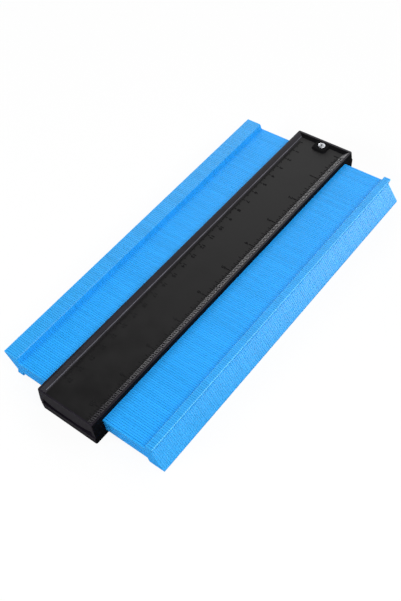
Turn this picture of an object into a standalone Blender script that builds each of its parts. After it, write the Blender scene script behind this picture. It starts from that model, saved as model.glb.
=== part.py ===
# Contour gauge: two moulded frames that clamp a stack of sliding plastic fins.
# Metres, +Z up, origin on the resting plane under the middle of the whole gauge.
# X is the way the fins slide, Y runs along the stack.

import math

import bmesh
import bpy
from mathutils import Matrix, Vector

MM = 0.001

# Fins
BANK_COUNT = 43
FINS_PER_BANK = 4
FIN_PITCH = 1.5 * MM
BANK_GAP = 0.1 * MM
FIN_LENGTH = 128.8 * MM
BLADE_HEIGHT = 11.1 * MM
HEAD_CLEARANCE = 0.2 * MM
HEAD_LENGTH = 11.3 * MM
RIDGE_WIDTH = 4.1 * MM
RIDGE_DROP = 5.0 * MM
TIP_THICKNESS = 0.9 * MM
STEP_SLANT = 1.0 * MM
EDGE_DRAFT = 0.12 * MM
FACE_GROOVE_HEIGHT = 0.8 * MM
FACE_GROOVE_DEPTH = 0.3 * MM
BODY_REST_SHIFT = -2.4 * MM
STACK_LEAN = 1.0 * MM

# Frames
BODY_HEIGHT = 19.0 * MM
BODY_WIDTH = 46.6 * MM
DRAFT = 0.6 * MM
END_BLOCK = 9.2 * MM
PARTING_OFFSET = 3.5 * MM
PARTING_GAP = 0.1 * MM
CORNER_RADIUS = 1.0 * MM
RIM_FLAT = 1.5 * MM
SIDE_SLOPE_RUN = 3.65 * MM
THIN_END_DRAFT = 0.25 * MM
THIN_END_SLOPE_RUN = 2.5 * MM
DEEP_END_DRAFT = 1.1 * MM
DEEP_END_RIM = 1.0 * MM
DEEP_END_SLOPE_RUN = 0.3 * MM
STEP_BACK = 0.7 * MM
STEP_FOOT = 4.0 * MM
CORNER_POST = 2.8 * MM
MOUTH_DEPTH = 2.4 * MM
MOUTH_FOOT = 2.2 * MM
ARCH_RISE = 5.2 * MM
ARCH_POWER = 3.5
ARCH_STEPS = 16
POCKET_WALL = 2.0 * MM
PANEL_WALL = 1.95 * MM
BLADE_CLEARANCE = 0.3 * MM
STACK_CLEARANCE = 0.3 * MM

# Screws and their bosses
SCREW_HEAD_DIAMETER = 5.6 * MM
SCREW_HEAD_HEIGHT = 1.7 * MM
SCREW_SHANK_DIAMETER = 2.9 * MM
SCREW_POINT = 1.5 * MM
SCREW_CLEARANCE = 0.3 * MM
SCREW_SEAT_GAP = 0.05 * MM
COUNTERBORE_DEPTH = 1.6 * MM
BOSS_HEIGHT = 1.4 * MM
BOSS_WALL = 2.0 * MM
BOSS_CORNER = 2.0 * MM
BOSS_SLOPE = 0.8 * MM
PILOT_SPARE = 1.0 * MM
PILOT_FLOOR = 1.0 * MM

# Places worked out from the sizes above
HALF_HEIGHT = BODY_HEIGHT / 2
HEAD_HALF = HALF_HEIGHT - HEAD_CLEARANCE
BANK_PITCH = FINS_PER_BANK * FIN_PITCH
BANK_THICKNESS = BANK_PITCH - BANK_GAP
STACK_LENGTH = BANK_COUNT * BANK_PITCH - BANK_GAP
WINDOW_LENGTH = STACK_LENGTH + 2 * STACK_CLEARANCE
WINDOW_HALF = BLADE_HEIGHT / 2 + BLADE_CLEARANCE
BODY_LENGTH = WINDOW_LENGTH + 2 * END_BLOCK
PANEL_Z = WINDOW_HALF + PANEL_WALL
RECESS_DEPTH = HALF_HEIGHT - PANEL_Z
THIN_END_TOP = BODY_LENGTH / 2 - THIN_END_DRAFT
DEEP_END_TOP = BODY_LENGTH / 2 - DEEP_END_DRAFT
SCREW_Y = (WINDOW_LENGTH / 2 + THIN_END_TOP - RIM_FLAT / 2) / 2
BORE_RADIUS = SCREW_HEAD_DIAMETER / 2 + SCREW_CLEARANCE
BOSS_HALF = BORE_RADIUS + BOSS_WALL
SEAT_Z = PANEL_Z + BOSS_HEIGHT - COUNTERBORE_DEPTH
PILOT_TOP = PANEL_Z - PILOT_FLOOR
SCREW_LENGTH = SEAT_Z + PILOT_TOP - PILOT_SPARE
HOLE_RADIUS = SCREW_SHANK_DIAMETER / 2 + SCREW_CLEARANCE
OVERSHOOT = 5.0 * MM
ROUND_SIDES = 32

ABS_BLACK = (0.016, 0.015, 0.016, 1.0)
ABS_BLUE = (0.035, 0.36, 0.93, 1.0)
ZINC = (0.75, 0.75, 0.73, 1.0)


def clear_scene():
    for item in list(bpy.context.scene.objects):
        bpy.data.objects.remove(item, do_unlink=True)


def make_collection(name):
    collection = bpy.data.collections.new(name)
    bpy.context.scene.collection.children.link(collection)
    return collection


def make_material(name, colour, roughness, metallic):
    material = bpy.data.materials.new(name)
    material.use_nodes = True
    shader = material.node_tree.nodes["Principled BSDF"]
    shader.inputs["Base Color"].default_value = colour
    shader.inputs["Roughness"].default_value = roughness
    shader.inputs["Metallic"].default_value = metallic
    return material


def new_object(name, mesh, collection):
    item = bpy.data.objects.new(name, mesh)
    collection.objects.link(item)
    return item


def mesh_from(name, bm):
    bmesh.ops.recalc_face_normals(bm, faces=bm.faces)
    mesh = bpy.data.meshes.new(name)
    bm.to_mesh(mesh)
    bm.free()
    return mesh


def block_mesh(name, low, high, corner=0.0, back_corners=True):
    """A block between two rectangles (x from, x to, y from, y to, z), its upright corners rounded."""
    bm = bmesh.new()
    bmesh.ops.create_cube(bm, size=1.0)
    upright = [e for e in bm.edges if e.verts[0].co.xy == e.verts[1].co.xy]
    if not back_corners:
        upright = [e for e in upright if e.verts[0].co.y < 0]
    for vert in bm.verts:
        x_from, x_to, y_from, y_to, z = high if vert.co.z > 0 else low
        vert.co = (x_to if vert.co.x > 0 else x_from, y_to if vert.co.y > 0 else y_from, z)
    if corner > 0:
        bmesh.ops.bevel(bm, geom=upright, offset=corner, segments=4, profile=0.5, affect="EDGES",
                        material=-1)
    return mesh_from(name, bm)


def box_mesh(name, half_x, half_y, z_low, z_high):
    sides = (-half_x, half_x, -half_y, half_y)
    return block_mesh(name, sides + (z_low,), sides + (z_high,))


def loft_mesh(name, sections):
    """A closed body through sections, each a place along Y with an outline of (x, z) points."""
    bm = bmesh.new()
    rings = [[bm.verts.new((x, y, z)) for x, z in outline] for y, outline in sections]
    for ring, following in zip(rings, rings[1:]):
        for index in range(len(ring)):
            bm.faces.new((ring[index - 1], ring[index], following[index], following[index - 1]))
    bm.faces.new(rings[0])
    bm.faces.new(rings[-1])
    return mesh_from(name, bm)


def cylinder(name, radius, z_low, z_high):
    bm = bmesh.new()
    bmesh.ops.create_cone(bm, cap_ends=True, segments=ROUND_SIDES, radius1=radius, radius2=radius,
                          depth=z_high - z_low)
    bmesh.ops.translate(bm, verts=bm.verts, vec=(0, 0, (z_low + z_high) / 2))
    return mesh_from(name, bm)


def add_boolean(target, cutter, operation):
    modifier = target.modifiers.new(cutter.name, "BOOLEAN")
    modifier.operation = operation
    modifier.solver = "EXACT"
    modifier.object = cutter
    return modifier


def make_guide(name, mesh, cutters, location=(0, 0, 0)):
    guide = new_object(name, mesh, cutters)
    guide.location = location
    guide.hide_render = True
    guide.display_type = "WIRE"
    return guide


def side_inset(height):
    """How far the draft pulls the outer wall in at a height above the middle plane."""
    return DRAFT * height / HALF_HEIGHT


def arch_mesh(name, half, parting, foot, depth):
    """A cutter under a flat arch that turns up towards the corners of the body."""
    outline = [(-half, parting - OVERSHOOT)]
    for step in range(ARCH_STEPS + 1):
        x = half * (2 * step / ARCH_STEPS - 1)
        outline.append((x, parting + foot + ARCH_RISE * abs(2 * x / BODY_WIDTH) ** ARCH_POWER))
    outline.append((half, parting - OVERSHOOT))
    return loft_mesh(name, [(-OVERSHOOT, outline), (depth, outline)])


def make_frame(name, collection, cutters, material):
    """One moulding, thin at its +Y end and deep at its -Y end, standing above the middle plane."""
    deep = -PARTING_OFFSET + PARTING_GAP / 2
    thin = PARTING_OFFSET + PARTING_GAP / 2
    half_low = BODY_WIDTH / 2 - side_inset(deep)
    half_top = BODY_WIDTH / 2 - DRAFT
    shell = new_object(name, block_mesh(
        name, (-half_low, half_low, -BODY_LENGTH / 2, BODY_LENGTH / 2, deep),
        (-half_top, half_top, -DEEP_END_TOP, THIN_END_TOP, HALF_HEIGHT), CORNER_RADIUS), collection)

    # Tray: its sloped sides run on above the rim, so the cut is clean at its top.
    foot_x = half_top - RIM_FLAT - SIDE_SLOPE_RUN
    foot_thin = THIN_END_TOP - RIM_FLAT - THIN_END_SLOPE_RUN
    foot_deep = DEEP_END_TOP - DEEP_END_RIM - DEEP_END_SLOPE_RUN
    reach = (RECESS_DEPTH + OVERSHOOT) / RECESS_DEPTH
    wide_x = foot_x + SIDE_SLOPE_RUN * reach
    tray = block_mesh(
        name + "_tray", (-foot_x, foot_x, -foot_deep, foot_thin, PANEL_Z),
        (-wide_x, wide_x, -foot_deep - DEEP_END_SLOPE_RUN * reach, foot_thin + THIN_END_SLOPE_RUN * reach,
         HALF_HEIGHT + OVERSHOOT))
    add_boolean(shell, make_guide(name + "_tray", tray, cutters), "DIFFERENCE")

    # Boss round the screw, its sides sloped, running back into the rim of the thin end.
    boss_low = PANEL_Z - PANEL_WALL / 2
    boss_top = PANEL_Z + BOSS_HEIGHT
    flare = BOSS_HALF + BOSS_SLOPE * (boss_top - boss_low) / BOSS_HEIGHT
    back = THIN_END_TOP - RIM_FLAT / 2
    boss = block_mesh(name + "_boss", (-flare, flare, SCREW_Y - flare, back, boss_low),
                      (-BOSS_HALF, BOSS_HALF, SCREW_Y - BOSS_HALF, back, boss_top), BOSS_CORNER, False)
    add_boolean(shell, make_guide(name + "_boss", boss, cutters), "UNION")

    # Room for the blades, open through both side walls.
    window = box_mesh(name + "_window", BODY_WIDTH, WINDOW_LENGTH / 2, deep - OVERSHOOT, WINDOW_HALF)
    add_boolean(shell, make_guide(name + "_window", window, cutters), "DIFFERENCE")

    # The thin end stops above the middle plane, where the other frame's deep end meets it.
    relief_half = END_BLOCK + OVERSHOOT
    relief = box_mesh(name + "_relief", BODY_WIDTH, relief_half, deep - OVERSHOOT, thin)
    relief_y = WINDOW_LENGTH / 2 - OVERSHOOT + relief_half
    add_boolean(shell, make_guide(name + "_relief", relief, cutters, (0, relief_y, 0)), "DIFFERENCE")

    # The deep end steps back under an arch. A mouth below it opens into a hollow on each side of the screw.
    end_place = (0, -BODY_LENGTH / 2, 0)
    step = arch_mesh(name + "_step", BODY_WIDTH / 2 + STEP_BACK, deep, STEP_FOOT, STEP_BACK)
    add_boolean(shell, make_guide(name + "_step", step, cutters, end_place), "DIFFERENCE")
    mouth = arch_mesh(name + "_mouth", BODY_WIDTH / 2 - CORNER_POST, deep, MOUTH_FOOT, MOUTH_DEPTH)
    add_boolean(shell, make_guide(name + "_mouth", mouth, cutters, end_place), "DIFFERENCE")
    pocket_x = (BODY_WIDTH / 2 - POCKET_WALL - HOLE_RADIUS - POCKET_WALL) / 2
    pocket_y = (END_BLOCK - 2 * POCKET_WALL) / 2
    for side, name_end in ((-1, "_left_pocket"), (1, "_right_pocket")):
        pocket = box_mesh(name + name_end, pocket_x, pocket_y, deep - OVERSHOOT, PANEL_Z - POCKET_WALL)
        place = (side * (HOLE_RADIUS + POCKET_WALL + pocket_x), -(WINDOW_LENGTH + END_BLOCK) / 2, 0)
        add_boolean(shell, make_guide(name + name_end, pocket, cutters, place), "DIFFERENCE")

    # Screw seat and hole through the thin end, blind hole up into the deep end.
    seat = cylinder(name + "_seat", BORE_RADIUS, SEAT_Z, HALF_HEIGHT + OVERSHOOT)
    add_boolean(shell, make_guide(name + "_seat", seat, cutters, (0, SCREW_Y, 0)), "DIFFERENCE")
    hole = cylinder(name + "_hole", HOLE_RADIUS, deep - OVERSHOOT, HALF_HEIGHT + OVERSHOOT)
    add_boolean(shell, make_guide(name + "_hole", hole, cutters, (0, SCREW_Y, 0)), "DIFFERENCE")
    pilot = cylinder(name + "_pilot", HOLE_RADIUS, deep - OVERSHOOT, PILOT_TOP)
    add_boolean(shell, make_guide(name + "_pilot", pilot, cutters, (0, -SCREW_Y, 0)), "DIFFERENCE")
    shell.data.materials.append(material)
    return shell


def screw_mesh():
    """Pan-head screw turned from its half profile, head seat at z = 0, point down."""
    head = SCREW_HEAD_DIAMETER / 2
    shank = SCREW_SHANK_DIAMETER / 2
    crown = 0.35 * SCREW_HEAD_HEIGHT
    outline = [
        (0.0, SCREW_HEAD_HEIGHT),
        (0.55 * head, SCREW_HEAD_HEIGHT - 0.15 * crown),
        (0.88 * head, SCREW_HEAD_HEIGHT - crown),
        (head, SCREW_HEAD_HEIGHT - 2 * crown),
        (head, 0.0),
        (shank, 0.0),
        (shank, SCREW_POINT - SCREW_LENGTH),
        (0.0, -SCREW_LENGTH),
    ]
    bm = bmesh.new()
    verts = [bm.verts.new((x, 0, z)) for x, z in outline]
    edges = [bm.edges.new(pair) for pair in zip(verts, verts[1:])]
    bmesh.ops.spin(bm, geom=verts + edges, cent=(0, 0, 0), axis=(0, 0, 1), angle=2 * math.pi,
                   steps=ROUND_SIDES // 2, use_merge=True)
    bmesh.ops.remove_doubles(bm, verts=bm.verts, dist=0.01 * MM)
    mesh = mesh_from("screw", bm)
    mesh.shade_smooth()
    mesh.set_sharp_from_angle(angle=math.radians(35))
    return mesh


def fin_outline():
    """Half of the fin's outline, clockwise from the ridge at +X; the other half is this one turned over."""
    tip_x = FIN_LENGTH / 2
    inner_x = tip_x - HEAD_LENGTH
    half = [
        (inner_x, BLADE_HEIGHT / 2),
        (inner_x, HEAD_HALF),
        (inner_x + RIDGE_WIDTH, HEAD_HALF),
        (inner_x + RIDGE_WIDTH, HEAD_HALF - RIDGE_DROP),
        (tip_x, TIP_THICKNESS - HEAD_HALF),
        (tip_x, -HEAD_HALF),
        (inner_x, -HEAD_HALF),
        (inner_x - STEP_SLANT, -BLADE_HEIGHT / 2),
    ]
    return half + [(-x, -z) for x, z in half]


def shrunk(outline, inset):
    """A clockwise outline with each side moved inwards by the inset, its corners mitred."""
    points = [Vector(point) for point in outline]
    result = []
    for index, corner in enumerate(points):
        before = (corner - points[index - 1]).normalized()
        after = (points[(index + 1) % len(points)] - corner).normalized()
        inward = Vector((before.y, -before.x)) + Vector((after.y, -after.x))
        result.append(corner + inward * inset / (1 + before.dot(after)))
    return result


def bank_mesh(collection, cutters):
    """Fins laid face to face. Each one's edges lean in across its thickness, as the mould leaves them."""
    full = fin_outline()
    small = shrunk(full, EDGE_DRAFT)
    sections = []
    for fin in range(FINS_PER_BANK):
        start = fin * FIN_PITCH - BANK_THICKNESS / 2
        sections += [(start, full), (min(start + FIN_PITCH, BANK_THICKNESS / 2), small)]
    bank = new_object("fin_bank", loft_mesh("fin_bank", sections), collection)

    # One shallow groove along each outer face of the bank, between the heads.
    half_length = FIN_LENGTH / 2 - HEAD_LENGTH
    half_groove = FACE_GROOVE_HEIGHT / 2
    outline = [(-half_length, -half_groove), (-half_length, half_groove), (half_length, half_groove),
               (half_length, -half_groove)]
    for name, face in (("near_groove", -BANK_THICKNESS / 2), ("far_groove", BANK_THICKNESS / 2)):
        groove = loft_mesh(name, [(face - FACE_GROOVE_DEPTH, outline), (face + FACE_GROOVE_DEPTH, outline)])
        add_boolean(bank, make_guide(name, groove, cutters), "DIFFERENCE")
    bpy.context.view_layer.update()
    mesh = bpy.data.meshes.new_from_object(bank.evaluated_get(bpy.context.evaluated_depsgraph_get()))
    mesh.name = "fins"
    for item in [bank] + [modifier.object for modifier in bank.modifiers]:
        bpy.data.objects.remove(item, do_unlink=True)
    return mesh


def make_bank(index, mesh, collection, middle):
    """A few neighbouring fins as one sliding group. At rest the stack leans slightly across the body."""
    bank = new_object("fin_bank_%02d" % (index + 1), mesh, collection)
    y = (index + 0.5 - BANK_COUNT / 2) * BANK_PITCH
    bank.location = (-STACK_LEAN * 2 * y / STACK_LENGTH, y, middle)
    return bank


def main():
    clear_scene()
    parts = make_collection("contour_gauge")
    cutters = make_collection("cutters")
    black = make_material("moulded_black_abs", ABS_BLACK, 0.38, 0.0)
    lower_black = make_material("moulded_black_abs_lower", ABS_BLACK, 0.38, 0.0)
    blue = make_material("moulded_blue_abs", ABS_BLUE, 0.35, 0.0)
    zinc = make_material("zinc_plated_steel", ZINC, 0.3, 1.0)
    middle = HALF_HEIGHT

    upper = make_frame("upper_frame", parts, cutters, black)
    lower = make_frame("lower_frame", parts, cutters, lower_black)
    turned = Matrix.Rotation(math.pi, 4, "X")
    lift = Matrix.Translation(Vector((BODY_REST_SHIFT, 0, middle)))
    for guide in cutters.objects:
        own = turned if guide.name.startswith("lower") else Matrix.Identity(4)
        guide.matrix_world = lift @ own @ Matrix.Translation(guide.location)
    upper.matrix_world = lift
    lower.matrix_world = lift @ turned

    screw = screw_mesh()
    screw.materials.append(zinc)
    far_screw = new_object("far_screw", screw, parts)
    far_screw.location = (BODY_REST_SHIFT, SCREW_Y, middle + SEAT_Z + SCREW_SEAT_GAP)
    near_screw = new_object("near_screw", screw, parts)
    near_screw.rotation_euler = (math.pi, 0, 0)
    near_screw.location = (BODY_REST_SHIFT, -SCREW_Y, middle - SEAT_Z - SCREW_SEAT_GAP)

    fins = bank_mesh(parts, cutters)
    fins.materials.append(blue)
    for index in range(BANK_COUNT):
        make_bank(index, fins, parts, middle)
    bpy.context.view_layer.update()


main()
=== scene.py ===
# Contour gauge: the finish of its frames, scales, fins and screws, and the studio it is seen in.
# Metres, +Z up. X is the way the fins slide, Y runs along the stack of fins.

import math
import random

import bmesh
import bpy
from mathutils import Matrix, Vector


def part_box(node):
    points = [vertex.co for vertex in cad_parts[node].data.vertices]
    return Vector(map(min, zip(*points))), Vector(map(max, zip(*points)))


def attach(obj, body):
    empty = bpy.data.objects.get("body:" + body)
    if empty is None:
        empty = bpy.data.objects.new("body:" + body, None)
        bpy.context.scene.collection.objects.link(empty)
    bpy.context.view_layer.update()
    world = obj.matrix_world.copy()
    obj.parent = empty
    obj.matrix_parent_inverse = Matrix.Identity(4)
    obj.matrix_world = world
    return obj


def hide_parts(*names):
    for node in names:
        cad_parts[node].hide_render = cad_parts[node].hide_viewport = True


bl_info = {
    "name": "Contour Gauge",
    "version": (1, 0, 0),
    "blender": (4, 5, 0),
    "location": "3D View > Sidebar > Gauge",
    "description": "Dresses the frame of a contour gauge with moulded shells, scales, fins and screws",
    "category": "Object",
}

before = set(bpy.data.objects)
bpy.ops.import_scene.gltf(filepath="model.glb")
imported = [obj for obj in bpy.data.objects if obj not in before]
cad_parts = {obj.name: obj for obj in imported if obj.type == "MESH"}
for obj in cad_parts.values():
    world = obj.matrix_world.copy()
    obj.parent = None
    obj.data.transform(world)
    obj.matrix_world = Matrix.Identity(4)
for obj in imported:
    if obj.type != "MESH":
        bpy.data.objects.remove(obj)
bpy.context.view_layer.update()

MM = 0.001
WELD = 0.002 * MM
SHARP = math.radians(24)
CURVED_FACE = 30 * MM * MM

BODY_LOW, BODY_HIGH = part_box("upper_frame")
BODY_X = (BODY_LOW.x + BODY_HIGH.x) / 2
TOP_Z = BODY_HIGH.z
MIDDLE_Z = TOP_Z / 2
BANKS = sorted(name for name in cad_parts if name.startswith("fin_bank_"))
STACK_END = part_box(BANKS[-1])[1].y
BODY_CENTRE = Matrix.Translation((BODY_X, 0, MIDDLE_Z))
TURNED = BODY_CENTRE @ Matrix.Rotation(math.pi, 4, "X")


def linear(code):
    """An sRGB hex colour as linear red, green and blue."""
    values = [int(code[place:place + 2], 16) / 255 for place in (1, 3, 5)]
    return tuple(v / 12.92 if v <= 0.04045 else ((v + 0.055) / 1.055) ** 2.4 for v in values)


def length(name, description, value):
    return bpy.props.FloatProperty(name=name, description=description, default=value * MM, unit="LENGTH",
                                   precision=5)


def colour(name, description, code):
    return bpy.props.FloatVectorProperty(name=name, description=description, default=linear(code), size=3,
                                         subtype="COLOR", min=0.0, max=1.0)


# Sizes and colours a user would change

class GaugeFrameSettings(bpy.types.PropertyGroup):
    edge_radius: length("Edge radius", "Rounding that the mould leaves on the frames' edges", 0.25)
    panel_drop: length("Panel drop", "Depth of the scale panel below the rim", 1.7)
    crest_half_width: length("Crest half width", "From the middle to the outer edge of the rim's crest", 22.7)
    rim_flat: length("Rim flat", "Width of the flat on top of the rim", 1.5)
    slope_run: length("Slope run", "Width of the rim's sloped inner side", 3.65)
    bead_half_width: length("Bead half width", "Half the width of the bead low on the left slope", 0.27)
    bead_height: length("Bead height", "Height of the bead above the slope", 0.2)
    bead_offset: length("Bead offset", "From the left slope's foot to the bead", 0.9)
    end_margin: length("End margin", "From the middle of the end rims to where the bead stops", 4.0)
    # The boss and the rim round it take the matt black: painted shade.
    boss_reach: length("Boss reach", "From the middle of the screw boss to where its matt finish stops", 8.0)


class GaugeScaleSettings(bpy.types.PropertyGroup):
    rise: length("Rise", "Height of the moulded lines and figures above the panel", 0.15)
    line_width: length("Line width", "Width of the moulded lines", 0.32)
    zero_gap: length("Zero gap", "From the zero line to the far end of the fins", -0.6)
    centimetres: bpy.props.IntProperty(name="Centimetres", description="Length of the metric scale",
                                       default=25, min=1)
    inches: bpy.props.IntProperty(name="Inches", description="Length of the inch scale", default=10, min=1)
    figure_height: length("Figure height", "Height of the centimetre figures", 2.7)
    inch_figure_height: length("Inch figure height", "Height of the inch figures", 3.0)


class GaugeFinSettings(bpy.types.PropertyGroup):
    per_bank: bpy.props.IntProperty(name="Fins per bank", description="Fins that slide as one group",
                                    default=4, min=1)
    gap: length("Gap", "Shadow gap between neighbouring fins", 0.08)
    blade_height: length("Blade height", "Height of the blade that slides through the frames", 11.1)
    head_length: length("Head length", "Length of the head at each end", 11.3)
    ridge_width: length("Ridge width", "Width of the flat ridge on a head", 5.6)
    ridge_lean: length("Ridge lean", "How far the ridge's outer side leans in below its crest", 1.8)
    ridge_drop: length("Ridge drop", "Step from the ridge down to the long slope", 5.0)
    tip_thickness: length("Tip thickness", "Height of the blunt tip", 0.9)
    step_slant: length("Step slant", "How far the underside of a head leans in", 1.0)
    corner: length("Corner", "Rounding of a head's corners", 0.6)
    rim: length("Rim", "Chamfer round each face of a fin's blade", 0.2)
    slope_rim: bpy.props.FloatProperty(name="Slope rim",
                                       description="Chamfer of a head's slopes as a share of the blade's",
                                       default=0.25, min=0.0, max=1.0)
    end_rim: length("End rim", "Chamfer round the outermost fins, which are rubbed round", 0.4)
    groove_height: length("Groove height", "Height of the groove along a fin's face", 0.8)
    groove_depth: length("Groove depth", "Depth of the groove along a fin's face", 0.45)
    scatter: length("Scatter", "How unevenly the fins stand at rest", 0.02)


class GaugeScrewSettings(bpy.types.PropertyGroup):
    head_radius: length("Head radius", "Radius of the pan head", 2.8)
    head_height: length("Head height", "Height of the pan head", 1.7)
    shank_radius: length("Shank radius", "Radius of the shank between the threads", 1.15)
    thread_radius: length("Thread radius", "Radius over the threads", 1.4)
    thread_pitch: length("Thread pitch", "Distance from thread to thread", 1.1)
    cross_length: length("Cross length", "Span of the cross recess", 2.8)
    cross_width: length("Cross width", "Width of the cross recess", 0.9)
    cross_depth: length("Cross depth", "Depth of the cross recess", 1.1)


class GaugeFinishSettings(bpy.types.PropertyGroup):
    blue: colour("Fin blue", "Colour of the fins' blades", "#26A4F4")
    # Paler than the blades: a painted sheen.
    head_blue: colour("Head blue", "Colour of the fins' heads", "#30A4EC")
    # Pale: a painted highlight along the heads' crest corners and round the outermost fins.
    worn_blue: colour("Worn blue", "Colour of the heads' worn corners", "#5CC0F7")
    black: colour("Frame black", "Colour of the frames' panels", "#0A090A")
    rim: colour("Rim black", "Colour of the frames' rims and ends", "#16121B")
    # Also painted shade on the screw boss and the frames' long sides.
    mark: colour("Mark black", "Colour of the raised lines and figures", "#08080A")
    # Pale grey: a painted highlight along the bead's crest.
    scuffed: colour("Scuffed black", "Colour of the bead's scuffed crest", "#62626C")
    zinc: colour("Zinc", "Colour of the plated screws", "#DCDDDE")
    # Dark grey: painted shade in the cross recess.
    dull_zinc: colour("Dull zinc", "Colour of the thin plating in the cross recess", "#4A4C4F")
    floor: colour("Floor", "Colour of the studio floor", "#F4F4F4")


# Materials

ABS_IOR = 1.53
NOISE_SPAN = (0.3, 0.7)  # nearly all of a noise pattern's values lie in here
MATT_SPECULAR = 0.06
RUBBED_SPAN = (-0.07, 0.01)  # along Y: fully rubbed before the first, not at all past the second


def add_node(tree, kind, settings=None, inputs=None):
    """One node with its settings, and each input as a value or as a link from another socket."""
    node = tree.nodes.new(kind)
    for name, value in (settings or {}).items():
        setattr(node, name, value)
    for name, value in (inputs or {}).items():
        if isinstance(value, bpy.types.NodeSocket):
            tree.links.new(value, node.inputs[name])
        else:
            node.inputs[name].default_value = value
    return node


def new_material(name):
    """A material with only a Principled shader and its output."""
    material = bpy.data.materials.new(name)
    material.use_nodes = True
    tree = material.node_tree
    return material, tree, tree.nodes["Principled BSDF"]


def per_metre(millimetres):
    """Texture scale for a pattern that repeats about every so many millimetres."""
    return 1.0 / (millimetres * MM)


def ramp(tree, value, span, levels=(0.0, 1.0), kind="LINEAR"):
    """A value that goes from the first level to the second while another one crosses the span."""
    node = add_node(tree, "ShaderNodeMapRange", {"interpolation_type": kind}, {
        "Value": value, "From Min": span[0], "From Max": span[1], "To Min": levels[0], "To Max": levels[1]})
    return node.outputs[0]


def tint(tree, shader, base, tone):
    """The base colour made lighter and darker by the tone."""
    tinted = add_node(tree, "ShaderNodeVectorMath", {"operation": "SCALE"}, {0: tuple(base), "Scale": tone})
    tree.links.new(tinted.outputs[0], shader.inputs["Base Color"])


def blue_abs(name, base, pitch, gloss, specular):
    """Blue ABS. Each fin is a shade lighter or darker than the next, and faint flow lines from the mould run
    along it."""
    material, tree, shader = new_material(name)
    place = add_node(tree, "ShaderNodeTexCoord").outputs["Object"]
    parts = add_node(tree, "ShaderNodeSeparateXYZ", inputs={"Vector": place})
    step = add_node(tree, "ShaderNodeMath", {"operation": "DIVIDE"}, {0: parts.outputs["Y"], 1: pitch})
    number = add_node(tree, "ShaderNodeMath", {"operation": "FLOOR"}, {0: step.outputs[0]})
    odd = add_node(tree, "ShaderNodeTexWhiteNoise", {"noise_dimensions": "1D"}, {"W": number.outputs[0]})
    stretched = add_node(tree, "ShaderNodeMapping", inputs={"Vector": place, "Scale": (0.12, 1.0, 1.0)})
    flow = add_node(tree, "ShaderNodeTexNoise", inputs={
        "Vector": stretched.outputs[0], "Scale": per_metre(3.0), "Detail": 3.0, "Roughness": 0.6})
    batch = add_node(tree, "ShaderNodeMath", {"operation": "MULTIPLY_ADD"},
                     {0: odd.outputs["Value"], 1: 0.5, 2: flow.outputs["Fac"]})
    tint(tree, shader, base, ramp(tree, batch.outputs[0], (0.3, 1.2), (0.91, 1.08)))
    tree.links.new(ramp(tree, flow.outputs["Fac"], NOISE_SPAN, gloss), shader.inputs["Roughness"])
    # The tool's polish is finer than this: 0.4 mm is the finest ripple that the picture holds.
    ripple = add_node(tree, "ShaderNodeTexNoise", inputs={
        "Vector": stretched.outputs[0], "Scale": per_metre(0.4), "Detail": 2.0})
    bump = add_node(tree, "ShaderNodeBump", inputs={
        "Height": ripple.outputs["Fac"], "Strength": 0.25, "Distance": 0.02 * MM})
    tree.links.new(bump.outputs[0], shader.inputs["Normal"])
    shader.inputs["IOR"].default_value = ABS_IOR
    shader.inputs["Specular IOR Level"].default_value = specular
    return material


def moulded_blue_abs(finish, pitch):
    """Moulded ABS, sky blue: the blades keep the even satin skin of the mould."""
    return blue_abs("moulded_blue_abs", finish.blue, pitch, (0.28, 0.4), 0.35)


def handled_blue_abs(finish, pitch):
    """The same ABS on the heads, which fingers and work have rubbed a little glossier; a little paler too, as a
    painted sheen.
    """
    return blue_abs("handled_blue_abs", finish.head_blue, pitch, (0.25, 0.36), 0.5)


def worn_blue_abs(finish, pitch):
    """The same ABS along the heads' corners and round the outermost fins, painted pale: a painted highlight,
    thin light lines.
    """
    return blue_abs("worn_blue_abs", finish.worn_blue, pitch, (0.4, 0.5), 0.5)


def textured_black_abs(finish):
    """Moulded ABS, black, from a spark-eroded tool: a fine even grain that spreads every reflection, with a
    faint cloudiness where the skin cooled unevenly."""
    material, tree, shader = new_material("textured_black_abs")
    place = add_node(tree, "ShaderNodeTexCoord").outputs["Object"]
    cloud = add_node(tree, "ShaderNodeTexNoise", inputs={
        "Vector": place, "Scale": per_metre(14.0), "Detail": 4.0, "Roughness": 0.55})
    tint(tree, shader, finish.black, ramp(tree, cloud.outputs["Fac"], NOISE_SPAN, (0.85, 1.2)))
    tree.links.new(ramp(tree, cloud.outputs["Fac"], NOISE_SPAN, (0.38, 0.5)), shader.inputs["Roughness"])
    # The real grain is about 0.1 mm. It is drawn at 0.35 mm so that it shows.
    grain = add_node(tree, "ShaderNodeTexVoronoi", {"feature": "SMOOTH_F1"}, {
        "Vector": place, "Scale": per_metre(0.35), "Smoothness": 1.0, "Randomness": 1.0})
    bump = add_node(tree, "ShaderNodeBump", inputs={
        "Height": grain.outputs["Distance"], "Strength": 0.5, "Distance": 0.03 * MM})
    tree.links.new(bump.outputs[0], shader.inputs["Normal"])
    shader.inputs["IOR"].default_value = ABS_IOR
    shader.inputs["Specular IOR Level"].default_value = 0.3
    return material


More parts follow.
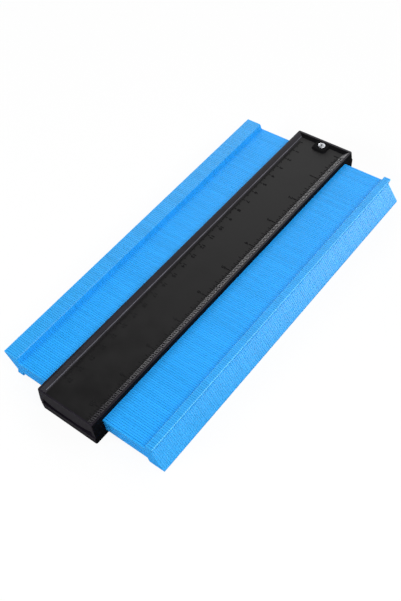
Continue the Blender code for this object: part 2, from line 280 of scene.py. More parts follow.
def satin_black_abs(finish):
    """Moulded ABS, black with a violet cast, from a tool that was only stoned: the rims and outsides are
    smoother than the panels, so they show soft highlights along their edges."""
    material, tree, shader = new_material("satin_black_abs")
    place = add_node(tree, "ShaderNodeTexCoord").outputs["Object"]
    cloud = add_node(tree, "ShaderNodeTexNoise", inputs={
        "Vector": place, "Scale": per_metre(9.0), "Detail": 4.0, "Roughness": 0.6})
    tint(tree, shader, finish.rim, ramp(tree, cloud.outputs["Fac"], NOISE_SPAN, (0.75, 1.3)))
    tree.links.new(ramp(tree, cloud.outputs["Fac"], NOISE_SPAN, (0.3, 0.4)), shader.inputs["Roughness"])
    # Stoning marks are finer than this. They are drawn 0.5 mm apart and run along the body.
    stretched = add_node(tree, "ShaderNodeMapping", inputs={"Vector": place, "Scale": (1.0, 0.15, 1.0)})
    stoned = add_node(tree, "ShaderNodeTexNoise", inputs={
        "Vector": stretched.outputs[0], "Scale": per_metre(0.5), "Detail": 2.0})
    bump = add_node(tree, "ShaderNodeBump", inputs={
        "Height": stoned.outputs["Fac"], "Strength": 0.3, "Distance": 0.02 * MM})
    tree.links.new(bump.outputs[0], shader.inputs["Normal"])
    shader.inputs["IOR"].default_value = ABS_IOR
    shader.inputs["Specular IOR Level"].default_value = 0.3
    return material


def matt_black_abs(finish):
    """Moulded ABS, black and matt, on the slope's lines; on the screw boss and the frames' long sides it is
    painted shade, darker than the panel and the slopes round them."""
    return coarse_black(new_material("matt_black_abs"), finish)


def rubbed_black_abs(finish):
    """The same matt ABS on lines and figures, rubbed towards the near end by the hand that holds the gauge, so
    they fade into the panel there."""
    made = new_material("rubbed_black_abs")
    tree, shader = made[1:]
    material = coarse_black(made, finish)
    parts = add_node(tree, "ShaderNodeSeparateXYZ", inputs={
        "Vector": add_node(tree, "ShaderNodeTexCoord").outputs["Object"]})
    rubbed = ramp(tree, parts.outputs["Y"], RUBBED_SPAN, (1.0, 0.0), "SMOOTHSTEP")
    shine = ramp(tree, rubbed, (0.0, 1.0), (MATT_SPECULAR, 0.27))
    tree.links.new(shine, shader.inputs["Specular IOR Level"])
    coarse = shader.inputs["Roughness"].links[0].from_socket
    gloss = add_node(tree, "ShaderNodeMix", {"data_type": "FLOAT"}, {"Factor": rubbed, "A": coarse, "B": 0.46})
    tree.links.new(gloss.outputs["Result"], shader.inputs["Roughness"])
    return material


def scuffed_black_abs(finish):
    """The same ABS on the raised bead, painted pale: a painted highlight, a thin grey line."""
    material, tree, shader = new_material("scuffed_black_abs")
    place = add_node(tree, "ShaderNodeTexCoord").outputs["Object"]
    stretched = add_node(tree, "ShaderNodeMapping", inputs={"Vector": place, "Scale": (1.0, 0.1, 1.0)})
    highlight_streaks = add_node(tree, "ShaderNodeTexNoise", inputs={
        "Vector": stretched.outputs[0], "Scale": per_metre(1.0), "Detail": 3.0})
    tint(tree, shader, finish.scuffed, ramp(tree, highlight_streaks.outputs["Fac"], NOISE_SPAN, (0.6, 1.2)))
    tree.links.new(ramp(tree, highlight_streaks.outputs["Fac"], NOISE_SPAN, (0.5, 0.65)), shader.inputs["Roughness"])
    shader.inputs["IOR"].default_value = ABS_IOR
    return material


def coarse_black(made, finish):
    """The look that both matt finishes share, on a material that was just made."""
    material, tree, shader = made
    place = add_node(tree, "ShaderNodeTexCoord").outputs["Object"]
    wear = add_node(tree, "ShaderNodeTexNoise", inputs={
        "Vector": place, "Scale": per_metre(2.0), "Detail": 3.0})
    tint(tree, shader, finish.mark, ramp(tree, wear.outputs["Fac"], NOISE_SPAN, (0.7, 1.3)))
    tree.links.new(ramp(tree, wear.outputs["Fac"], NOISE_SPAN, (0.6, 0.8)), shader.inputs["Roughness"])
    shader.inputs["IOR"].default_value = ABS_IOR
    shader.inputs["Specular IOR Level"].default_value = MATT_SPECULAR
    return material


def zinc_plated_steel(finish):
    """Bright zinc on steel, barrel plated: silvery with a faint cloud of blue passivation and soft tumbling
    marks that blur its reflections."""
    return plated("zinc_plated_steel", finish.zinc, (0.3, 0.42))


def thinly_plated_steel(finish):
    """The same steel in the cross recess: dull, and painted a dark grey as shade."""
    return plated("thinly_plated_steel", finish.dull_zinc, (0.5, 0.65))


def plated(name, base, gloss):
    """Plated steel of one colour and one range of roughness."""
    material, tree, shader = new_material(name)
    place = add_node(tree, "ShaderNodeTexCoord").outputs["Object"]
    cloud = add_node(tree, "ShaderNodeTexNoise", inputs={
        "Vector": place, "Scale": per_metre(1.5), "Detail": 3.0})
    blue_cast = tuple(channel * share for channel, share in zip(base, (0.86, 0.9, 0.97)))
    mixed = add_node(tree, "ShaderNodeMix", {"data_type": "RGBA"}, {
        "Factor": cloud.outputs["Fac"], "A": (*base, 1.0), "B": (*blue_cast, 1.0)})
    tree.links.new(mixed.outputs["Result"], shader.inputs["Base Color"])
    tree.links.new(ramp(tree, cloud.outputs["Fac"], NOISE_SPAN, gloss), shader.inputs["Roughness"])
    tumbled = add_node(tree, "ShaderNodeTexNoise", inputs={
        "Vector": place, "Scale": per_metre(0.3), "Detail": 2.0})
    bump = add_node(tree, "ShaderNodeBump", inputs={
        "Height": tumbled.outputs["Fac"], "Strength": 0.3, "Distance": 0.02 * MM})
    tree.links.new(bump.outputs[0], shader.inputs["Normal"])
    shader.inputs["Metallic"].default_value = 1.0
    return material


def once(make, *values):
    """The material that a function makes, made the first time it is asked for. It has the function's name."""
    return bpy.data.materials.get(make.__name__) or make(*values)


# Shared shaping tools

def plain_object(name, bm):
    """An object at the origin from a bmesh, its faces pointing out."""
    bmesh.ops.recalc_face_normals(bm, faces=bm.faces)
    mesh = bpy.data.meshes.new(name)
    bm.to_mesh(mesh)
    bm.free()
    item = bpy.data.objects.new(name, mesh)
    bpy.context.scene.collection.objects.link(item)
    return item


def finish_mesh(bm, name, materials, sharp=None):
    """The same with its materials. Edges under the sharp angle are smoothed if one is given."""
    item = plain_object(name, bm)
    if sharp is not None:
        item.data.shade_smooth()
        item.data.set_sharp_from_angle(angle=sharp)
    for material in materials:
        item.data.materials.append(material)
    return item


def baked(item):
    """The item's mesh with its modifiers applied, the item itself removed."""
    bpy.context.view_layer.update()
    mesh = bpy.data.meshes.new_from_object(item.evaluated_get(bpy.context.evaluated_depsgraph_get()))
    bpy.data.objects.remove(item, do_unlink=True)
    return mesh


def cut(item, cutters):
    """The item's mesh with each cutter taken out of it. The cutters are removed."""
    for cutter in cutters:
        modifier = item.modifiers.new(cutter.name, "BOOLEAN")
        modifier.operation = "DIFFERENCE"
        modifier.solver = "EXACT"
        modifier.object = cutter
    mesh = baked(item)
    for cutter in cutters:
        bpy.data.objects.remove(cutter, do_unlink=True)
    return mesh


def add_bar(bm, place, size, taper):
    """A bar centred on a place, its top drawn in by the taper on every side."""
    verts = bmesh.ops.create_cube(bm, size=1.0)["verts"]
    for vert in verts:
        inset = taper if vert.co.z > 0 else 0.0
        vert.co.x = math.copysign(size[0] / 2 - inset, vert.co.x)
        vert.co.y = math.copysign(size[1] / 2 - inset, vert.co.y)
        vert.co.z *= size[2]
    bmesh.ops.transform(bm, matrix=place, verts=verts)


# Frames

def slope_foot(settings):
    """From the middle of the body to the foot of the rim's slope."""
    return settings.crest_half_width - settings.rim_flat - settings.slope_run


def make_shell(node, name, side, settings, materials):
    """A frame's solid with its edges rounded as a mould leaves them and a bead on its left slope. Its panel, its
    rims, its bead, and its long sides and boss are finished apart: the bead's crest pale as a painted
    highlight, the long sides and boss darker as painted shade."""
    bm = bmesh.new()
    bm.from_mesh(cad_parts[node].data)
    bmesh.ops.remove_doubles(bm, verts=bm.verts, dist=WELD)
    bmesh.ops.dissolve_limit(bm, angle_limit=math.radians(1), verts=bm.verts, edges=bm.edges)
    sharp = [e for e in bm.edges if e.is_manifold and e.calc_face_angle() > SHARP]
    bmesh.ops.bevel(bm, geom=sharp, offset=settings.edge_radius, segments=2, profile=0.5, affect="EDGES",
                    clamp_overlap=True, material=-1)
    panel_height = MIDDLE_Z - settings.panel_drop
    for face in bm.faces:
        face.smooth = face.calc_area() < CURVED_FACE
        centre = face.calc_center_median()
        # The boss and the long sides take the matt black: painted shade.
        height = side * (centre.z - MIDDLE_Z)
        shaded_beside_screw = (abs(centre.x - BODY_X) < settings.boss_reach
                        and side * centre.y > BODY_HIGH.y - 2 * settings.boss_reach
                        and panel_height + WELD < height < MIDDLE_Z - WELD)
        shaded_side = abs(centre.x - BODY_X) > settings.crest_half_width + WELD and height < panel_height
        on_panel = abs(height - panel_height) < WELD
        face.material_index = 2 if shaded_beside_screw or shaded_side else 0 if on_panel else 1
    add_bead(bm, settings, side)
    shell = finish_mesh(bm, name, materials)
    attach(shell, "body")
    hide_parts(node)
    return shell


def add_bead(bm, settings, side):
    """A long half-round bead low on the left slope."""
    radius = (settings.bead_half_width ** 2 + settings.bead_height ** 2) / (2 * settings.bead_height)
    span = 2 * (BODY_HIGH.y - settings.end_margin)
    foot = slope_foot(settings)
    surface = MIDDLE_Z - settings.panel_drop * (1 - settings.bead_offset / settings.slope_run)
    height = surface + settings.bead_height - radius
    rod = bmesh.ops.create_cone(bm, cap_ends=True, segments=16, radius1=radius, radius2=radius, depth=span)
    place = Matrix.Translation((BODY_X - foot - settings.bead_offset, 0, MIDDLE_Z + side * height))
    bmesh.ops.transform(bm, matrix=place @ Matrix.Rotation(math.pi / 2, 4, "X"), verts=rod["verts"])
    for face in {face for vert in rod["verts"] for face in vert.link_faces}:
        face.smooth = True
        # The bead takes the pale grey: a painted highlight.
        face.material_index = 3


class GAUGE_OT_frames(bpy.types.Operator):
    """Make the two moulded frames, with rounded edges and a fine grain"""
    bl_idname = "gauge.frames"
    bl_label = "Frames"

    def execute(self, context):
        settings = context.scene.gauge_frame
        finish = context.scene.gauge_finish
        materials = (once(textured_black_abs, finish),
                     once(satin_black_abs, finish),
                     once(matt_black_abs, finish),
                     once(scuffed_black_abs, finish))
        make_shell("upper_frame", "upper_shell", 1, settings, materials)
        make_shell("lower_frame", "lower_shell", -1, settings, materials)
        return {"FINISHED"}


# Scales

CAP_SHARE = 0.7  # a figure's height as a share of its font size
INCH = 25.4 * MM
CENTIMETRE_INSET = 0.4 * MM  # from the left slope's foot to the lines
CENTIMETRE_FIGURES = 5.2 * MM  # from there to the middle of the figures
CENTIMETRE_REACHES = ((10, 3.2), (5, 2.4), (1, 1.6))  # every so many lines, and how long in mm
INCH_INSET = 0.2 * MM
INCH_FIGURES = 6.6 * MM
INCH_REACHES = ((16, 4.6), (8, 3.6), (4, 2.9), (2, 2.3), (1, 1.6))


def reach_of(count, reaches):
    """How far a line runs: the first length in the list whose step fits its number."""
    return next(size * MM for step, size in reaches if count % step == 0)


def add_line(bm, frame_settings, scale, x_start, x_end, y, width=None):
    """One raised line across the panel, in a frame's own place with the middle of the body at zero."""
    panel = MIDDLE_Z - frame_settings.panel_drop
    place = Matrix.Translation(((x_start + x_end) / 2, y, panel))
    add_bar(bm, place, (abs(x_end - x_start), width or scale.line_width, 2 * scale.rise), scale.rise / 3)


def add_figures(bm, text, place, height, rise):
    """Raised figures, made a mesh and then put in place."""
    curve = bpy.data.curves.new("figures", "FONT")
    curve.body = text
    curve.size = height / CAP_SHARE
    curve.align_x = "CENTER"
    curve.align_y = "CENTER"
    curve.extrude = rise
    curve.resolution_u = 3
    item = bpy.data.objects.new("figures", curve)
    bpy.context.scene.collection.objects.link(item)
    mesh = baked(item)
    letters = bmesh.new()
    letters.from_mesh(mesh)
    bmesh.ops.remove_doubles(letters, verts=letters.verts, dist=WELD)
    bmesh.ops.transform(letters, matrix=place, verts=letters.verts)
    letters.to_mesh(mesh)
    letters.free()
    bm.from_mesh(mesh)
    bpy.data.meshes.remove(mesh)


def centimetre_scale(frame_settings, scale):
    """Millimetre lines along the left slope, with longer ones at 5 and 10 mm and a figure at each centimetre."""
    bm = bmesh.new()
    foot = slope_foot(frame_settings)
    start = -foot + CENTIMETRE_INSET
    zero = STACK_END - scale.zero_gap
    panel = MIDDLE_Z - frame_settings.panel_drop
    for count in range(10 * scale.centimetres + 1):
        reach = reach_of(count, CENTIMETRE_REACHES)
        add_line(bm, frame_settings, scale, start, start + reach, zero - count * MM)
    for number in range(1, scale.centimetres + 1):
        middle = Matrix.Translation((start + CENTIMETRE_FIGURES, zero - 10 * number * MM, panel))
        place = middle @ Matrix.Rotation(-math.pi / 2, 4, "Z")
        add_figures(bm, str(number), place, scale.figure_height, scale.rise)
    return bm


def inch_scale(frame_settings, scale):
    """Sixteenths along the right slope, longer at each eighth, quarter, half and inch, with inch figures.
    They all run on up the slope."""
    bm = bmesh.new()
    foot = slope_foot(frame_settings)
    zero = STACK_END - scale.zero_gap
    panel = MIDDLE_Z - frame_settings.panel_drop
    start = foot - INCH_INSET
    tilt = math.atan2(frame_settings.panel_drop, frame_settings.slope_run)
    slope_length = math.hypot(frame_settings.panel_drop, frame_settings.slope_run)
    for count in range(16 * scale.inches + 8):
        y = zero - count * INCH / 16
        width = scale.line_width * (1.5 if count % 16 == 0 else 1.0)
        add_line(bm, frame_settings, scale, start - reach_of(count, INCH_REACHES), start, y, width)
        middle = Vector((foot + frame_settings.slope_run / 2, y, panel + frame_settings.panel_drop / 2))
        place = Matrix.Translation(middle) @ Matrix.Rotation(-tilt, 4, "Y")
        size = (slope_length - (0.8 if count % 2 == 0 else 2.0) * MM, 1.7 * scale.line_width, 2 * scale.rise)
        add_bar(bm, place, size, scale.rise / 3)
    for face in bm.faces:
        face.material_index = 1 if face.calc_center_median().x > foot else 0
    for number in range(1, scale.inches + 1):
        middle = Matrix.Translation((start - INCH_FIGURES, zero - number * INCH, panel))
        place = middle @ Matrix.Rotation(-math.pi / 2, 4, "Z")
        add_figures(bm, str(number), place, scale.inch_figure_height, scale.rise)
    return bm


class GAUGE_OT_scales(bpy.types.Operator):
    """Make the raised centimetre and inch scales of both frames"""
    bl_idname = "gauge.scales"
    bl_label = "Scales"

    def execute(self, context):
        frame_settings = context.scene.gauge_frame
        scale = context.scene.gauge_scale
        finish = context.scene.gauge_finish
        materials = (once(rubbed_black_abs, finish), once(matt_black_abs, finish))
        for side, place in (("upper", BODY_CENTRE), ("lower", TURNED)):
            for kind, make in (("centimetre", centimetre_scale), ("inch", inch_scale)):
                bm = make(frame_settings, scale)
                bmesh.ops.transform(bm, matrix=place, verts=bm.verts)
                piece = finish_mesh(bm, side + "_" + kind + "_scale", materials)
                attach(piece, "body")
        return {"FINISHED"}


# Fins

def fin_outline(fin, tip_x, head_half):
    """Half of a fin's outline from the ridge at +X, then the same half turned over."""
    inner_x = tip_x - fin.head_length
    half = [
        (inner_x, fin.blade_height / 2),
        (inner_x, head_half),
        (inner_x + fin.ridge_width, head_half),
        (inner_x + fin.ridge_width - fin.ridge_lean, head_half - fin.ridge_drop),
        (tip_x, fin.tip_thickness - head_half),
        (tip_x, -head_half),
        (inner_x, -head_half),
        (inner_x - fin.step_slant, -fin.blade_height / 2),
    ]
    return half + [(-x, -z) for x, z in half]


def fin_mesh(fin, pitch, tip_x, head_half, rim, rim_material):
    """One fin: its outline extruded, the heads' corners rounded, both rims chamfered, less so on the heads'
    slopes, and a groove along each face of the blade."""
    thickness = pitch - fin.gap
    bm = bmesh.new()
    outline = [bm.verts.new((x, -thickness / 2, z)) for x, z in fin_outline(fin, tip_x, head_half)]
    face = bm.faces.new(outline)
    swept = bmesh.ops.extrude_face_region(bm, geom=[face])["geom"]
    moved = [item for item in swept if isinstance(item, bmesh.types.BMVert)]
    bmesh.ops.translate(bm, verts=moved, vec=(0, thickness, 0))
    bmesh.ops.recalc_face_normals(bm, faces=bm.faces)
    crests = [e for e in bm.edges
              if e.verts[0].co.x == e.verts[1].co.x and e.verts[0].co.z == e.verts[1].co.z
              and abs(e.verts[0].co.x) < tip_x - WELD and abs(e.verts[0].co.z) > head_half - WELD
              and (e.verts[0].co.x * e.verts[0].co.z > 0 or abs(e.verts[0].co.x) < tip_x - fin.head_length / 2)]
    # The heads take the paler blue: a painted sheen.
    for face in bm.faces:
        face.material_index = 1 if abs(face.calc_center_median().x) > tip_x - fin.head_length - WELD else 0
    rounded = bmesh.ops.bevel(bm, geom=crests, offset=fin.corner, segments=1, profile=0.5, affect="EDGES",
                              material=-1)
    # The rounded crest corners take the pale blue: a painted highlight.
    for face in rounded["faces"]:
        centre = face.calc_center_median()
        face.material_index = 2 if centre.x * centre.z > 0 else 1
    share = bm.edges.layers.float.new("bevel_weight_edge")
    for edge in bm.edges:
        if edge.verts[0].co.y == edge.verts[1].co.y:
            level = abs(edge.verts[0].co.z - edge.verts[1].co.z) < WELD
            edge[share] = 1.0 if level else fin.slope_rim
    item = plain_object("fin", bm)
    chamfer = item.modifiers.new("rim", "BEVEL")
    chamfer.limit_method = "WEIGHT"
    chamfer.width = rim
    chamfer.segments = 1
    chamfer.material = rim_material
    cutters = []
    groove_length = 2 * (tip_x - fin.head_length)
    for side in (-1, 1):
        groove = bmesh.new()
        place = Matrix.Translation((0, side * thickness / 2, 0))
        add_bar(groove, place, (groove_length, 2 * fin.groove_depth, fin.groove_height), 0.0)
        cutters.append(plain_object("groove", groove))
    return cut(item, cutters)


def make_bank(name, meshes, fin, pitch, materials, chance):
    """The fins of one bank, each standing a hair out of line, as they do when pushed back by hand."""
    low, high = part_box(name)
    centre = (low + high) / 2
    bm = bmesh.new()
    for index in range(fin.per_bank):
        y = centre.y + (index - (fin.per_bank - 1) / 2) * pitch
        shift = Matrix.Translation((centre.x + chance.gauss(0.0, fin.scatter), y,
                                    MIDDLE_Z + chance.gauss(0.0, fin.scatter / 4)))
        start = len(bm.verts)
        bm.from_mesh(meshes[index])
        bm.verts.ensure_lookup_table()
        bmesh.ops.transform(bm, matrix=shift, verts=bm.verts[start:])
    bank = finish_mesh(bm, name.replace("fin_bank", "fins"), materials)
    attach(bank, name.replace("fin_bank", "fins"))
    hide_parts(name)


class GAUGE_OT_fins(bpy.types.Operator):
    """Make every fin, in the banks that slide together"""
    bl_idname = "gauge.fins"
    bl_label = "Fins"

    def execute(self, context):
        fin = context.scene.gauge_fin
        first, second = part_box(BANKS[0]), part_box(BANKS[1])
        pitch = (second[0].y - first[0].y) / fin.per_bank
        tip_x = (first[1].x - first[0].x) / 2
        head_half = (first[1].z - first[0].z) / 2
        finish = context.scene.gauge_finish
        materials = (once(moulded_blue_abs, finish, pitch),
                     once(handled_blue_abs, finish, pitch),
                     once(worn_blue_abs, finish, pitch))
        inner = fin_mesh(fin, pitch, tip_x, head_half, fin.rim, -1)
        # The outermost fins' wide chamfers take the pale blue: a painted highlight along their edges.
        outer = fin_mesh(fin, pitch, tip_x, head_half, fin.end_rim, len(materials) - 1)
        chance = random.Random(7)
        for name in BANKS:
            meshes = [inner] * fin.per_bank
            if name == BANKS[0]:
                meshes[0] = outer
            if name == BANKS[-1]:
                meshes[-1] = outer
            make_bank(name, meshes, fin, pitch, materials, chance)
        return {"FINISHED"}


# Screws

CROWN_SHARE = 0.32  # how much of the head's height is its rounded crown
CROWN_STEPS = 6
TURN_STEPS = 48
POINT_LENGTH = 1.5 * MM
RECESS_TAPER = 0.25 * MM
THREAD_STEPS = 16  # in one turn
THREAD_START = 1.0 * MM  # below the head
THREAD_HALF = 0.3 * MM
PLAIN_LENGTH = 3 * MM  # of the shank, at its two ends together


def screw_mesh(screw, full_length):
    """A pan-head screw with a cross recess and a plain shank, its seat at z = 0 and its point down."""
    shank_length = full_length - screw.head_height
    crown = CROWN_SHARE * screw.head_height
    dome = [(screw.head_radius * math.sin(turn), screw.head_height - crown * (1 - math.cos(turn)))
            for turn in (step * math.pi / 2 / CROWN_STEPS for step in range(CROWN_STEPS + 1))]
    outline = dome + [(screw.head_radius, 0.0), (screw.shank_radius, 0.0),
                      (screw.shank_radius, POINT_LENGTH - shank_length), (0.0, -shank_length)]
    bm = bmesh.new()
    verts = [bm.verts.new((x, 0, z)) for x, z in outline]
    edges = [bm.edges.new(pair) for pair in zip(verts, verts[1:])]
    bmesh.ops.spin(bm, geom=verts + edges, cent=(0, 0, 0), axis=(0, 0, 1), angle=2 * math.pi,
                   steps=TURN_STEPS, use_merge=True)
    bmesh.ops.remove_doubles(bm, verts=bm.verts, dist=WELD)
    cutters = []
    for turn in (0.0, math.pi / 2):
        blade = bmesh.new()
        place = (Matrix.Translation((0, 0, screw.head_height)) @ Matrix.Rotation(turn, 4, "Z")
                 @ Matrix.Rotation(math.pi, 4, "X"))
        add_bar(blade, place, (screw.cross_length, screw.cross_width, 2 * screw.cross_depth), RECESS_TAPER)
        cutters.append(plain_object("cross", blade))
    return cut(plain_object("screw", bm), cutters)


def add_thread(bm, screw, full_length):
    """A ridge wound round the shank from below the head nearly to the point."""
    turns = int((full_length - screw.head_height - PLAIN_LENGTH) / screw.thread_pitch)
    inner = screw.shank_radius - 0.15 * MM
    profile = [bm.verts.new(point) for point in (
        (inner, 0, THREAD_HALF - THREAD_START), (screw.thread_radius, 0, -THREAD_START),
        (inner, 0, -THREAD_HALF - THREAD_START))]
    face = bm.faces.new(profile)
    ring = list(face.edges)
    bm.faces.remove(face)
    swept = bmesh.ops.spin(bm, geom=profile + ring, cent=(0, 0, 0), axis=(0, 0, 1), angle=2 * math.pi * turns,
                           dvec=(0, 0, -screw.thread_pitch / THREAD_STEPS), steps=THREAD_STEPS * turns,
                           use_merge=False)
    last = [item for item in swept["geom_last"] if isinstance(item, bmesh.types.BMVert)]
    bm.faces.new(profile)
    bm.faces.new(last)


def in_recess(face, screw):
    """Whether a face of the screw is a wall or the bottom of the cross recess."""
    centre = face.calc_center_median()
    near_axis = math.hypot(centre.x, centre.y) < screw.cross_length / 2
    return near_axis and centre.z > 0 and (face.normal.z < 0.5 or centre.z < 0.6 * screw.head_height)


class GAUGE_OT_screws(bpy.types.Operator):
    """Make the two cross-recess screws that clamp the frames"""
    bl_idname = "gauge.screws"
    bl_label = "Screws"

    def execute(self, context):
        screw = context.scene.gauge_screw
        zinc = once(zinc_plated_steel, context.scene.gauge_finish)
        recess_shade = once(thinly_plated_steel, context.scene.gauge_finish)
        for node, angle, up in (("far_screw", 0.35, True), ("near_screw", 1.1, False)):
            low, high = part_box(node)
            full_length = high.z - low.z
            centre = (low + high) / 2
            if up:
                seat = high.z - screw.head_height
                place = Matrix.Translation((centre.x, centre.y, seat))
            else:
                seat = low.z + screw.head_height
                place = Matrix.Translation((centre.x, centre.y, seat)) @ Matrix.Rotation(math.pi, 4, "X")
            bm = bmesh.new()
            bm.from_mesh(screw_mesh(screw, full_length))
            bmesh.ops.recalc_face_normals(bm, faces=bm.faces)
            for face in bm.faces:
                # Recess faces take the dark grey: painted shade.
                face.material_index = 1 if in_recess(face, screw) else 0
            add_thread(bm, screw, full_length)
            bmesh.ops.transform(bm, matrix=place @ Matrix.Rotation(angle, 4, "Z"), verts=bm.verts)
            piece = finish_mesh(bm, node + "_zinc", (zinc, recess_shade), sharp=math.radians(35))
            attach(piece, "body")
            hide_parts(node)
        return {"FINISHED"}


# Stage

CAMERA_PLACE = (0.2767, -0.2801, 0.4576)
CAMERA_AZIMUTH = 46.21
CAMERA_ELEVATION = 50.38
CAMERA_ROLL = -9.79
CAMERA_LENS = 53.83
LAMPS = {  # place and size in metres, power in watts
    "key": ((1.0, -0.5, 1.6), (1.6, 1.6), 30.4),
    "left_strip": ((-1.5, 1.0, 0.4), (1.2, 0.3), 7.0),
    "right_strip": ((1.4, 0.7, 1.0), (0.7, 0.25), 4.0),
    "low_strip": ((1.1, 1.0, 0.12), (0.9, 0.2), 1.8),
    "front_strip": ((-0.9, -1.5, 0.87), (1.2, 0.4), 18.0),
}
# Where the floor's painted reflection grows bright or dark, in metres, and the levels on either side
FLOOR_BEHIND = (-0.1, 0.1)
FLOOR_BESIDE, BESIDE_LEVELS = (0.06, 0.1), (0.05, 2.6)
FLOOR_FRONT, FRONT_LEVELS = (-0.15, -0.137), (0.15, 0.0)
SKY_SPAN, SKY_LEVELS = (0.3, 0.56), (0.02, 1.15)
GLOW_SHARE = 0.9
WHITE = (1.0, 1.0, 1.0, 1.0)


def make_camera(scene):
    """The photograph's view: from the front right and above, rolled a little."""
    azimuth, elevation = math.radians(CAMERA_AZIMUTH), math.radians(CAMERA_ELEVATION)
    back = Vector((math.sin(azimuth) * math.cos(elevation), -math.cos(azimuth) * math.cos(elevation),
                   math.sin(elevation)))
    turn = back.to_track_quat("Z", "Y").to_matrix() @ Matrix.Rotation(math.radians(CAMERA_ROLL), 3, "Z")
    data = bpy.data.cameras.new("camera")
    data.sensor_fit = "VERTICAL"
    data.sensor_height = 36.0
    data.lens = CAMERA_LENS
    data.clip_start = 0.01
    camera = bpy.data.objects.new("camera", data)
    camera.matrix_world = Matrix.Translation(CAMERA_PLACE) @ turn.to_4x4()
    scene.collection.objects.link(camera)
    scene.camera = camera


def make_lamp(scene, name, place, size, power):
    """A soft oblong lamp that faces the gauge, out of the camera's sight."""
    data = bpy.data.lights.new(name, "AREA")
    data.shape = "RECTANGLE"
    data.size, data.size_y = size
    data.energy = power
    lamp = bpy.data.objects.new(name, data)
    lamp.visible_camera = False
    away = Vector(place)
    lamp.matrix_world = Matrix.Translation(place) @ away.to_track_quat("Z", "Y").to_matrix().to_4x4()
    scene.collection.objects.link(lamp)


def white_floor(finish):
    """Matt white board: it takes the object's shadow, and the camera sees it near full white. Reflections see it
    glow, bright behind and beside the gauge and dark in front: a painted reflection.
    """
    material, tree, shader = new_material("white_board")
    path = add_node(tree, "ShaderNodeLightPath")
    mirrored = add_node(tree, "ShaderNodeMath", {"operation": "MAXIMUM"},
                        {0: path.outputs["Is Glossy Ray"], 1: path.outputs["Is Transmission Ray"]})
    dimmed = add_node(tree, "ShaderNodeMath", {"operation": "MULTIPLY"},
                      {0: mirrored.outputs[0], 1: GLOW_SHARE})
    share = add_node(tree, "ShaderNodeMath", {"operation": "MULTIPLY_ADD"},
                     {0: path.outputs["Is Camera Ray"], 1: GLOW_SHARE, 2: dimmed.outputs[0]})
    shader.inputs["Base Color"].default_value = (*finish.floor, 1.0)
    shader.inputs["Roughness"].default_value = 1.0
    shader.inputs["Specular IOR Level"].default_value = 0.0
    place = add_node(tree, "ShaderNodeTexCoord").outputs["Object"]
    parts = add_node(tree, "ShaderNodeSeparateXYZ", inputs={"Vector": place})
    # Glow seen only in reflections: a painted reflection, bright behind and beside, dark in front.
    behind = ramp(tree, parts.outputs["Y"], FLOOR_BEHIND, kind="SMOOTHSTEP")
    beside = ramp(tree, parts.outputs["X"], FLOOR_BESIDE, BESIDE_LEVELS, "SMOOTHSTEP")
    front = ramp(tree, parts.outputs["Y"], FLOOR_FRONT, FRONT_LEVELS)
    reflection_glow = add_node(tree, "ShaderNodeMath", {"operation": "MULTIPLY_ADD"}, {0: behind, 1: beside, 2: front})
    level = add_node(tree, "ShaderNodeMix", {"data_type": "FLOAT"}, {
        "Factor": path.outputs["Is Camera Ray"], "A": reflection_glow.outputs[0], "B": 1.0})
    glow = add_node(tree, "ShaderNodeEmission", inputs={
        "Color": WHITE, "Strength": level.outputs["Result"]})
    mixed = add_node(tree, "ShaderNodeMixShader", inputs={
        0: share.outputs[0], 1: shader.outputs[0], 2: glow.outputs[0]})
    tree.links.new(mixed.outputs[0], tree.nodes["Material Output"].inputs["Surface"])
    return material


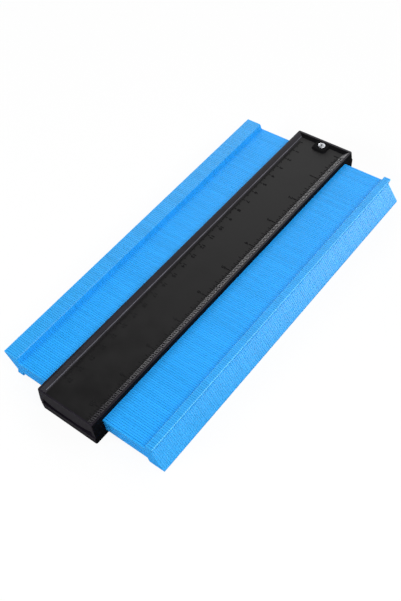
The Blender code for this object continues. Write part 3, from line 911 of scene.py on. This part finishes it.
def make_world(scene):
    """A studio that is pale behind the gauge and dark in front. The camera sees it plain white."""
    world = bpy.data.worlds.new("studio")
    world.use_nodes = True
    tree = world.node_tree
    tree.nodes.clear()
    place = add_node(tree, "ShaderNodeTexCoord").outputs["Generated"]
    parts = add_node(tree, "ShaderNodeSeparateXYZ", inputs={"Vector": place})
    level = ramp(tree, parts.outputs["Y"], SKY_SPAN, SKY_LEVELS, "SMOOTHSTEP")
    path = add_node(tree, "ShaderNodeLightPath")
    strength = add_node(tree, "ShaderNodeMix", {"data_type": "FLOAT"}, {
        "Factor": path.outputs["Is Camera Ray"], "A": level, "B": 1.0})
    sky = add_node(tree, "ShaderNodeBackground", inputs={
        "Color": WHITE, "Strength": strength.outputs["Result"]})
    add_node(tree, "ShaderNodeOutputWorld", inputs={"Surface": sky.outputs[0]})
    scene.world = world


class GAUGE_OT_stage(bpy.types.Operator):
    """Set up the camera, the white floor, the pale surroundings and the soft lamps"""
    bl_idname = "gauge.stage"
    bl_label = "Stage"

    def execute(self, context):
        scene = context.scene
        scene.view_settings.view_transform = "Standard"
        make_camera(scene)
        make_world(scene)
        bm = bmesh.new()
        bmesh.ops.create_grid(bm, x_segments=1, y_segments=1, size=4.0)
        board = finish_mesh(bm, "floor", (white_floor(scene.gauge_finish),))
        for name, (place, size, power) in LAMPS.items():
            make_lamp(scene, name, place, size, power)
        return {"FINISHED"}


# Panel and registration

class GAUGE_PT_panel(bpy.types.Panel):
    bl_idname = "GAUGE_PT_panel"
    bl_label = "Contour gauge"
    bl_space_type = "VIEW_3D"
    bl_region_type = "UI"
    bl_category = "Gauge"

    def draw(self, context):
        layout = self.layout
        for operator in OPERATORS:
            layout.operator(operator.bl_idname)
        for name, group in SETTINGS.items():
            box = layout.box()
            for entry in group.__annotations__:
                box.prop(getattr(context.scene, name), entry)


OPERATORS = (GAUGE_OT_stage, GAUGE_OT_frames, GAUGE_OT_scales, GAUGE_OT_fins, GAUGE_OT_screws)
SETTINGS = {
    "gauge_frame": GaugeFrameSettings,
    "gauge_scale": GaugeScaleSettings,
    "gauge_fin": GaugeFinSettings,
    "gauge_screw": GaugeScrewSettings,
    "gauge_finish": GaugeFinishSettings,
}


def register():
    for item in (*SETTINGS.values(), *OPERATORS, GAUGE_PT_panel):
        bpy.utils.register_class(item)
    for name, group in SETTINGS.items():
        setattr(bpy.types.Scene, name, bpy.props.PointerProperty(type=group))


def unregister():
    for name in SETTINGS:
        delattr(bpy.types.Scene, name)
    for item in reversed((*SETTINGS.values(), *OPERATORS, GAUGE_PT_panel)):
        bpy.utils.unregister_class(item)


def main():
    register()
    bpy.ops.gauge.stage()
    bpy.ops.gauge.frames()
    bpy.ops.gauge.scales()
    bpy.ops.gauge.fins()
    bpy.ops.gauge.screws()


if __name__ == "__main__":
    main()
